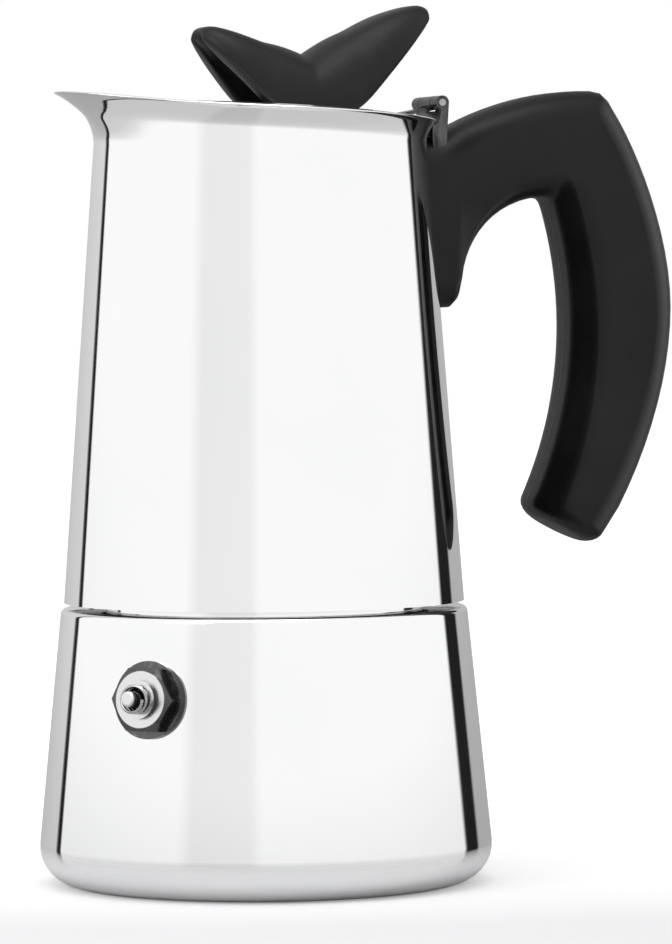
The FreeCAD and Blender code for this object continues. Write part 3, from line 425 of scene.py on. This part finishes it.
def make_neck_thread():
    mesh = bmesh.new()
    steps = int(STEPS_A_TURN * THREAD_TURNS)
    root = NECK_RADIUS - ROOT_DEPTH
    crest = NECK_RADIUS + CREST_RISE
    section = [(root, THREAD_FOOT - ROOT_HALF), (crest, THREAD_FOOT - CREST_HALF),
               (crest, THREAD_FOOT + CREST_HALF), (root, THREAD_FOOT + ROOT_HALF)]
    verts, _ = add_loop(mesh, section)
    face = mesh.faces.new(verts)
    bmesh.ops.spin(mesh, geom=[face], axis=(0, 0, 1), cent=(0, 0, 0), angle=2 * math.pi * THREAD_TURNS,
                   dvec=(0, 0, THREAD_PITCH * THREAD_TURNS / steps * MM), steps=steps, use_merge=False)
    close_piece(mesh, "boiler_thread", "boiler", satin_steel, THREAD_SHARP)


make_neck_thread()
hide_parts("boiler")

# %% [markdown]
# The jug's wall is a plain cone that turns out into a lip, and on one side the lip is pulled out into a
# spout. Sculpting could pull it, but would leave ripples in a mirror. So a curve is worked out first that
# gives, for each way round the pot, how far the sheet has turned out at each height.

# %% Jug lip
JUG_BASE_RADIUS = 41.7
JUG_BASE = 58.7
JUG_TAPER = 0.0737
JUG_WALL = 0.9
RIM_HEIGHT = 160.35
RIM_TILT = math.radians(3.0)
LIP_ZONE = 20.0
LIP_FOOT = RIM_HEIGHT - LIP_ZONE
LIP_REACH = 2.4
LIP_DEPTH = 4.5
SPOUT_REACH = 8.1
SPOUT_DEPTH = 9.5
SPOUT_SPREAD = 0.34
SPOUT_RISE = 1.8
RISE_SPREAD = 0.6
FLARE_POWER = 1.5
SETTLE_ROUNDS = 3


def flare(depth, reach, height):
    """How far a lip has curled out at a depth below the rim."""
    return reach * max(0.0, 1.0 - max(0.0, depth) / height) ** FLARE_POWER


def near_spout(angle, spread):
    """One at the spout, falling smoothly to nothing beside it."""
    beside = (math.pi - abs(angle)) / spread
    return math.exp(-beside * beside)


def rim_top(x, angle):
    """Height of the rim, which falls toward the handle and rises at the spout."""
    return RIM_HEIGHT - x * math.tan(RIM_TILT) + SPOUT_RISE * near_spout(angle, RISE_SPREAD)


def lip_point(angle, share, inset):
    """Point of the jug's top; the share runs from the straight wall, 0, to the rim, 1.

    The rim's height depends on the radius and the radius on the height, so a few rounds settle them.
    """
    radius = JUG_BASE_RADIUS - inset - JUG_TAPER * (LIP_FOOT - JUG_BASE)
    for _ in range(SETTLE_ROUNDS):
        rise = rim_top(radius * math.cos(angle), angle) - LIP_FOOT
        depth = (1.0 - share) * rise
        radius = JUG_BASE_RADIUS - inset - JUG_TAPER * (LIP_FOOT + share * rise - JUG_BASE)
        radius += flare(depth, LIP_REACH, LIP_DEPTH)
        radius += flare(depth, SPOUT_REACH, SPOUT_DEPTH) * near_spout(angle, SPOUT_SPREAD)
    x = radius * math.cos(angle)
    height = LIP_FOOT + share * (rim_top(x, angle) - LIP_FOOT)
    return Vector((x, radius * math.sin(angle), height)) * MM


print("spout tip at", [round(value, 4) for value in lip_point(math.pi, 1.0, 0.0)])

# %% [markdown]
# The jug is spun as a plain cone with close rows near its top, and those rows then move out along the lip's
# curve. The cut edge of the sheet gets a fine round, which catches a thin line of light along the rim.

# %% Jug
LIP_ROWS = 32
JUG_STEPS = 240
RIM_ROUND = 0.3
RIM_TURN = math.radians(30.0)
SLACK = 0.01


def cone_point(height, inset):
    """Radius and height on the jug's straight wall."""
    return (JUG_BASE_RADIUS - inset - JUG_TAPER * (height - JUG_BASE), height)


def make_jug():
    mesh = bmesh.new()
    rows = [JUG_BASE] + [RIM_HEIGHT - LIP_ZONE * (1 - row / LIP_ROWS) for row in range(LIP_ROWS + 1)]
    outline = [cone_point(row, 0.0) for row in rows] + [cone_point(row, JUG_WALL) for row in reversed(rows)]
    spin_outline(mesh, outline, JUG_STEPS)
    bmesh.ops.remove_doubles(mesh, verts=mesh.verts, dist=MERGE_GAP)
    rim = set()
    for vert in mesh.verts:
        height = vert.co.z / MM
        if height < LIP_FOOT - SLACK:
            continue
        middle, _ = cone_point(height, JUG_WALL / 2)
        inset = 0.0 if vert.co.xy.length / MM > middle else JUG_WALL
        if height > RIM_HEIGHT - SLACK:
            rim.add(vert)
        vert.co = lip_point(math.atan2(vert.co.y, vert.co.x), (height - LIP_FOOT) / LIP_ZONE, inset)
    around = [edge for edge in mesh.edges if rim.issuperset(edge.verts)
              and edge.calc_face_angle(0.0) > RIM_TURN]
    bmesh.ops.bevel(mesh, geom=around, offset=RIM_ROUND * MM, segments=3, profile=0.5, affect="EDGES",
                    material=-1)
    piece = close_piece(mesh, "jug_wall", "collector", mirror_steel, SHELL_SHARP)
    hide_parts("jug_shell")


make_jug()

# %% [markdown]
# The handle is one moulded hook, and its thickness changes all along. A bevelled curve can only scale one
# section, so pairs of points are used instead, one on the hook's inner side and one on its outer side. They
# run from the jug round the corner to the end of the grip, which is drawn in to a round.

# %% Handle outline
def arc_run(start, end, radius, steps):
    """Points from start to end along an arc; a positive radius bends to the left."""
    start = Vector(start)
    end = Vector(end)
    chord = end - start
    across = Vector((-chord.y, chord.x)).normalized()
    rise = math.sqrt(radius * radius - chord.length_squared / 4)
    centre = (start + end) / 2 + across * math.copysign(rise, radius)
    first = start - centre
    sweep = -first.angle_signed(end - centre)
    return [centre + Matrix.Rotation(sweep * step / steps, 2) @ first for step in range(steps + 1)]


ARCH_STEPS = 12
ARCH_INNER = -20.9
ARCH_OUTER = -66.0
GRIP_STEPS = 24
GRIP_INNER = -84.0


def handle_stations():
    """Inner and outer points of the hook, from inside the jug's wall to the end of the grip."""
    inner = [(34.5, 120.4), (38.0, 119.4), (40.6, 119.5), (41.7, 120.6)]
    outer = [(32.5, 154.4), (35.5, 155.2), (37.5, 155.7), (39.5, 156.4)]
    inner += arc_run((42.0, 122.2), (61.8, 142.6), ARCH_INNER, ARCH_STEPS) + [(63.5, 142.2), (64.4, 141.2)]
    outer += arc_run((41.0, 157.0), (73.6, 165.1), ARCH_OUTER, ARCH_STEPS) + [(75.6, 164.7), (77.2, 163.3)]
    inner += arc_run((65.0, 139.6), (58.4, 76.4), GRIP_INNER, GRIP_STEPS)
    upper = [Vector(point) for point in ((78.5, 161.2), (83.9, 153.2), (91.7, 135.0), (91.7, 119.5))]
    lower = [Vector(point) for point in ((91.7, 119.5), (91.7, 104.0), (85.5, 84.5), (74.2, 68.2))]
    half = GRIP_STEPS // 2 + 1
    outer += interpolate_bezier(*upper, half) + interpolate_bezier(*lower, half)[1:]
    return [(Vector(near), Vector(away)) for near, away in zip(inner, outer)]


HANDLE_HALF_WIDTH = 8.3
END_ROUND = 3.4
END_STEPS = 6


def ended(stations):
    """Stations as (inner, outer, half width), with the grip's end drawn in to a round."""
    rows = [(near, away, HANDLE_HALF_WIDTH) for near, away in stations[:-2]]
    near, away = stations[-1]
    across = (away - near).normalized()
    along = Vector((across.y, -across.x))
    for step in range(END_STEPS + 1):
        turn = math.pi / 2 * step / END_STEPS
        shift = along * END_ROUND * (math.sin(turn) - 1.0)
        inset = END_ROUND * (1.0 - math.cos(turn))
        inner = near + shift + across * inset
        outer = away + shift - across * inset
        rows.append((inner, outer, HANDLE_HALF_WIDTH - inset))
    return rows


handle_rows = ended(handle_stations())
print("handle stations", len(handle_rows))

# %% [markdown]
# A flat grid is rolled into a tube through these stations. Each row of it becomes a rectangle with wide
# rounds, a little tighter on the finger side than on the back of the hand.

# %% Handle
INNER_ROUND = 5.6
OUTER_ROUND = 6.4
CORNER_STEPS = 7
LEAST_FLAT = 0.1
PLASTIC_SHARP = 60


def ring_spot(row, step):
    """Point of a rounded rectangle across the hook; the step counts round it."""
    near, away, width = row
    thick = (away - near).length
    corner = step // (CORNER_STEPS + 1) % 4
    turn = math.pi / 2 * (corner + 2 + (step % (CORNER_STEPS + 1)) / CORNER_STEPS)
    outer = corner in (1, 2)
    radius = min(OUTER_ROUND if outer else INNER_ROUND, thick / 2 - LEAST_FLAT, width - LEAST_FLAT)
    deep = thick - radius if outer else radius
    side = -1 if corner in (0, 1) else 1
    deep += radius * math.cos(turn)
    beside = side * (width - radius) + radius * math.sin(turn)
    spot = near + (away - near).normalized() * deep
    return Vector((spot.x, beside, spot.y)) * MM


def make_handle():
    mesh = bmesh.new()
    around = 4 * (CORNER_STEPS + 1)
    along = len(handle_rows) - 1
    grid = bmesh.ops.create_grid(mesh, x_segments=along, y_segments=around, size=1.0)["verts"]
    for vert in grid:
        row = handle_rows[round((vert.co.x + 1) / 2 * along)]
        vert.co = ring_spot(row, round((vert.co.y + 1) / 2 * around) % around)
    bmesh.ops.remove_doubles(mesh, verts=mesh.verts, dist=MERGE_GAP)
    bmesh.ops.holes_fill(mesh, edges=[edge for edge in mesh.edges if edge.is_boundary])
    piece = close_piece(mesh, "handle_grip", "collector", handle_plastic, PLASTIC_SHARP)
    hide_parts("handle")


make_handle()

# %% [markdown]
# The knob is a saddle: two wings rise from a low valley, and its sides come down to the lid. The wing on the
# handle's side is longer and higher than the other. One rule gives the knob's width, lower edge and crest at
# each place along it, so that both wings follow the same kind of curve.

# %% Knob outline
LID_TOP = 0.6
KNOB_SPANS = {-1: 24.3, 1: 28.4}
KNOB_TIPS = {-1: 15.2, 1: 22.6}
KNOB_CRESTS = {-1: 17.9, 1: 25.2}
KNOB_VALLEY = 12.4
KNOB_FOOT = 9.8
KNOB_HALF_WIDTH = 12.0
CREST_PACE = 1.1
TIP_SHARE = 0.2
PLAN_POWER = 2.6


def knob_edges(run):
    """Half width, lower edge and crest of the knob at a distance along it."""
    side = -1 if run < 0 else 1
    share = abs(run) / KNOB_SPANS[side]
    foot = KNOB_FOOT / KNOB_SPANS[side]
    low = LID_TOP + (KNOB_TIPS[side] - LID_TOP) * max(0.0, share - foot) / (1.0 - foot)
    lift = math.sin(math.pi / 2 * min(1.0, share * CREST_PACE))
    high = KNOB_VALLEY + (KNOB_CRESTS[side] - KNOB_VALLEY) * lift
    high -= (high - KNOB_TIPS[side]) * max(0.0, (share - (1.0 - TIP_SHARE)) / TIP_SHARE) ** 3
    width = KNOB_HALF_WIDTH * math.sqrt(max(0.0, 1.0 - share ** PLAN_POWER))
    return width, low, high


print("knob valley", [round(value, 2) for value in knob_edges(0.0)])

# %% [markdown]
# The knob is a hood with a thick rim, open below the wings. A solid block with two cuts would leave sharp
# edges, so a flat grid takes the hood's shape, a second one takes the hollow's, and bridging their edges
# makes the rim, which subdivision then rounds. A plain cone below the valley is its foot on the lid.

# %% Knob
KNOB_REACH = 8.5
KNOB_RIM = 4.6
HOOD_SHARE = 0.985
HOLLOW_SHARE = 0.74
DISH_DEPTH = 1.4
DISH_WIDTH = 0.7
SECTION_POWER = 0.8
LEAST_HOLLOW = 0.4
WEB_FOOT = 8.8
WEB_TOP = 7.8
WEB_HEIGHT = 9.6
lid_place = Matrix.Translation((0, 0, RIM_HEIGHT * MM)) @ Matrix.Rotation(RIM_TILT, 4, "Y")


def shape_hood(verts, reach, inset, dish_depth):
    """Move a flat grid onto the hood, or with an inset onto its hollow."""
    for vert in verts:
        along, across = vert.co.x, vert.co.y
        run = along * reach * KNOB_SPANS[-1 if along < 0 else 1]
        width, low, high = knob_edges(run)
        width = max(LEAST_HOLLOW, width - inset)
        high = max(low + LEAST_HOLLOW, high - inset)
        turn = math.pi * (across + 1) / 2
        thick = min(1.0, (high - low) / KNOB_VALLEY)
        dish = dish_depth * thick * min(1.0, abs(run) / KNOB_FOOT) ** 2
        beside = math.cos(turn)
        height = low + (high - low) * math.sin(turn) ** SECTION_POWER
        height -= dish * max(0.0, 1.0 - (beside / DISH_WIDTH) ** 2) ** 2
        vert.co = Vector((KNOB_REACH + run, width * beside, height)) * MM


def make_knob():
    mesh = bmesh.new()
    grid = {"x_segments": 36, "y_segments": 20, "size": 1.0}
    hood = bmesh.ops.create_grid(mesh, **grid)["verts"]
    hollow = bmesh.ops.create_grid(mesh, **grid)["verts"]
    shape_hood(hood, HOOD_SHARE, 0.0, DISH_DEPTH)
    shape_hood(hollow, HOLLOW_SHARE, KNOB_RIM, 0.0)
    rims = [edge for edge in mesh.edges if edge.is_boundary]
    bmesh.ops.bridge_loops(mesh, edges=rims)
    web = bmesh.ops.create_cone(mesh, cap_ends=True, segments=40, radius1=WEB_FOOT * MM, radius2=WEB_TOP * MM,
                                depth=WEB_HEIGHT * MM)
    bmesh.ops.translate(mesh, verts=web["verts"], vec=(KNOB_REACH * MM, 0, (LID_TOP + WEB_HEIGHT / 2) * MM))
    bmesh.ops.transform(mesh, matrix=lid_place, verts=mesh.verts)
    piece = close_piece(mesh, "knob_wings", "lid", knob_plastic, PLASTIC_SHARP)
    smooth = piece.modifiers.new("rim_round", "SUBSURF")
    smooth.levels = 2
    smooth.render_levels = 2
    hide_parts("lid_knob")


make_knob()

# %% [markdown]
# The pot stands on a white sweep that keeps its soft shadow. For the camera the sweep also glows a little,
# less in front of the pot than behind it, so that it meets the white background with no line. In the steel
# only the sheet's middle is mirrored, under the pot: farther off the sweep opens to the room, so that the
# flags run down the boiler as they do in the studio.

# %% Sweep finish
CAMERA_TURN = math.radians(20.0)
toward_camera = Vector((-math.sin(CAMERA_TURN), -math.cos(CAMERA_TURN), 0.0))
SWEEP_GLOW = 0.6
FRONT_GLOW = 0.13
FADE_BACK = -0.10
FADE_FRONT = 0.08
MIRRORED_NEAR = 0.05
MIRRORED_FAR = 0.11
SHEET_COLOUR = (0.70, 0.70, 0.705, 1.0)


def floor_finish():
    finish = bpy.data.materials.new("floor_finish")
    finish.use_nodes = True
    nodes = finish.node_tree.nodes
    nodes.remove(nodes["Principled BSDF"])
    place = add_node(finish, "ShaderNodeTexCoord").outputs["Object"]
    away = add_node(finish, "ShaderNodeVectorMath", {0: place}, operation="LENGTH")
    opening = add_node(finish, "ShaderNodeMapRange",
                       {"Value": away.outputs["Value"], "From Min": MIRRORED_NEAR, "From Max": MIRRORED_FAR})
    rays = add_node(finish, "ShaderNodeLightPath")
    clear = add_node(finish, "ShaderNodeMath",
                     {0: rays.outputs["Is Glossy Ray"], 1: opening.outputs["Result"]}, operation="MULTIPLY")
    fade = add_node(finish, "ShaderNodeMapRange",
                    {"Value": share_along(finish, place, toward_camera), "From Min": FADE_BACK,
                     "From Max": FADE_FRONT, "To Min": SWEEP_GLOW, "To Max": FRONT_GLOW})
    glow = add_node(finish, "ShaderNodeMath",
                    {0: rays.outputs["Is Camera Ray"], 1: fade.outputs["Result"]}, operation="MULTIPLY")
    sheet = add_node(finish, "ShaderNodeBsdfDiffuse", {"Color": SHEET_COLOUR})
    light = add_node(finish, "ShaderNodeEmission", {"Strength": glow.outputs["Value"]})
    both = add_node(finish, "ShaderNodeAddShader", {0: sheet.outputs["BSDF"], 1: light.outputs["Emission"]})
    gone = add_node(finish, "ShaderNodeBsdfTransparent")
    seen = add_node(finish, "ShaderNodeMixShader", {0: clear.outputs["Value"], 1: both.outputs["Shader"],
                                                    2: gone.outputs["BSDF"]})
    finish.node_tree.links.new(seen.outputs["Shader"], nodes["Material Output"].inputs["Surface"])
    return finish


sweep_finish = floor_finish()
print("finish", sweep_finish.name)

# %% [markdown]
# The sweep itself is one flat square, with its edges far behind the pot and the camera.

# %% Floor
FLOOR_HALF = 4.0


def make_floor():
    mesh = bmesh.new()
    bmesh.ops.create_grid(mesh, x_segments=1, y_segments=1, size=FLOOR_HALF)
    data = bpy.data.meshes.new("floor")
    mesh.to_mesh(data)
    mesh.free()
    floor = bpy.data.objects.new("floor", data)
    bpy.context.collection.objects.link(floor)
    data.materials.append(sweep_finish)
    return floor


floor = make_floor()
print("floor", floor.name)

# %% [markdown]
# Polished steel is a picture of its studio. The camera sees plain white, but reflections see the room: white
# panels, a pale grey opening beside the camera, a narrow black flag on the left, a wider one on the right and
# a grey back wall. Each is a stretch of the compass, counted from the camera, and the room darkens toward the
# floor. Real panels could stand round the pot, but a world keeps them out of the picture and of its shadows.

# %% Studio
to_the_right = Vector((math.cos(CAMERA_TURN), -math.sin(CAMERA_TURN), 0.0))
ROOM = (
    (-180.0, 0.60), (-134.5, 0.70), (-133.3, 0.015), (-129.2, 0.015), (-128.0, 1.0),
    (-46.0, 1.0), (-38.0, 0.86), (-8.0, 0.88), (-2.0, 1.0),
    (121.0, 1.0), (123.5, 0.015), (136.5, 0.015), (139.0, 0.48), (180.0, 0.50),
)
DEPTHS = ((0.0, 0.58), (0.2, 0.60), (0.35, 0.66), (0.45, 0.80), (0.5, 0.94), (0.53, 1.0))
PLAIN_LIGHT = (0.72, 0.72, 0.73, 1.0)
PAPER_WHITE = (1.0, 1.0, 1.0, 1.0)


def blend(tree, share, first, second, way="MIX"):
    """Mix of two colours, or their product; a Mix node keeps its colour sockets behind those for numbers."""
    colours = {0: share, 6: first, 7: second}
    return add_node(tree, "ShaderNodeMix", colours, data_type="RGBA", blend_type=way).outputs[2]


def make_studio():
    world = bpy.data.worlds.new("studio")
    bpy.context.scene.world = world
    world.use_nodes = True
    nodes = world.node_tree.nodes
    way = add_node(world, "ShaderNodeTexCoord").outputs["Generated"]
    ahead = share_along(world, way, toward_camera)
    aside = share_along(world, way, to_the_right)
    compass = add_node(world, "ShaderNodeMath", {0: aside, 1: ahead}, operation="ARCTAN2")
    turn = add_node(world, "ShaderNodeMapRange", {"Value": compass.outputs["Value"], "From Min": -math.pi,
                                                  "From Max": math.pi})
    panels = ramp(world, turn.outputs["Result"], [((angle + 180.0) / 360.0, grey) for angle, grey in ROOM])
    level = add_node(world, "ShaderNodeSeparateXYZ", {"Vector": way}).outputs["Z"]
    rise = add_node(world, "ShaderNodeMapRange", {"Value": level, "From Min": -1.0, "From Max": 1.0})
    below = ramp(world, rise.outputs["Result"], DEPTHS)
    walls = blend(world, 1.0, panels, below, "MULTIPLY")
    rays = add_node(world, "ShaderNodeLightPath")
    room = blend(world, rays.outputs["Is Glossy Ray"], PLAIN_LIGHT, walls)
    seen = blend(world, rays.outputs["Is Camera Ray"], room, PAPER_WHITE)
    world.node_tree.links.new(seen, nodes["Background"].inputs["Color"])
    return world


studio = make_studio()
print("studio", studio.name)

# %% [markdown]
# One broad lamp above and in front lifts the tops of the black plastic, and a smaller one on the left draws
# the edges of the knob.

# %% Lamps
def add_lamp(name, place, target, width, watts):
    lamp = bpy.data.lights.new(name, "AREA")
    lamp.shape = "SQUARE"
    lamp.size = width
    lamp.energy = watts
    item = bpy.data.objects.new(name, lamp)
    item.location = place
    item.rotation_euler = (Vector(target) - Vector(place)).to_track_quat("-Z", "Y").to_euler()
    bpy.context.collection.objects.link(item)
    return item


pot_middle = Vector((0.015, 0.0, 0.09))
add_lamp("top_panel", (-0.2, -0.4, 1.3), pot_middle, 1.0, 6.0)
add_lamp("left_panel", (-1.1, -0.5, 0.7), pot_middle, 0.6, 3.5)

# %% [markdown]
# The photograph fits a camera a little over a metre away with a long lens, a bit below the rim and turned so
# that the handle points slightly away. The picture leans by less than half a degree, and so does the camera.

# %% Camera
CAMERA_DISTANCE = 1.146
CAMERA_HEIGHT = 0.1254
FOCAL_PIXELS = 5500.0
FRAME_HEIGHT = 944.0
SENSOR = 36.0
AIM_RIGHT = 0.0152
AIM_HEIGHT = 0.0854
CAMERA_ROLL = math.radians(-0.45)


def make_camera():
    lens = bpy.data.cameras.new("photo_camera")
    lens.sensor_width = SENSOR
    lens.lens = FOCAL_PIXELS / FRAME_HEIGHT * SENSOR
    lens.clip_end = 20.0
    camera = bpy.data.objects.new("photo_camera", lens)
    camera.location = toward_camera * CAMERA_DISTANCE + Vector((0, 0, CAMERA_HEIGHT))
    aim = to_the_right * AIM_RIGHT + Vector((0, 0, AIM_HEIGHT))
    look = (aim - camera.location).to_track_quat("-Z", "Y").to_matrix()
    camera.rotation_euler = (look @ Matrix.Rotation(CAMERA_ROLL, 3, "Z")).to_euler()
    bpy.context.collection.objects.link(camera)
    bpy.context.scene.camera = camera
    return camera


camera = make_camera()
bpy.context.scene.view_settings.view_transform = "Standard"
print("camera", [round(value, 3) for value in camera.location])
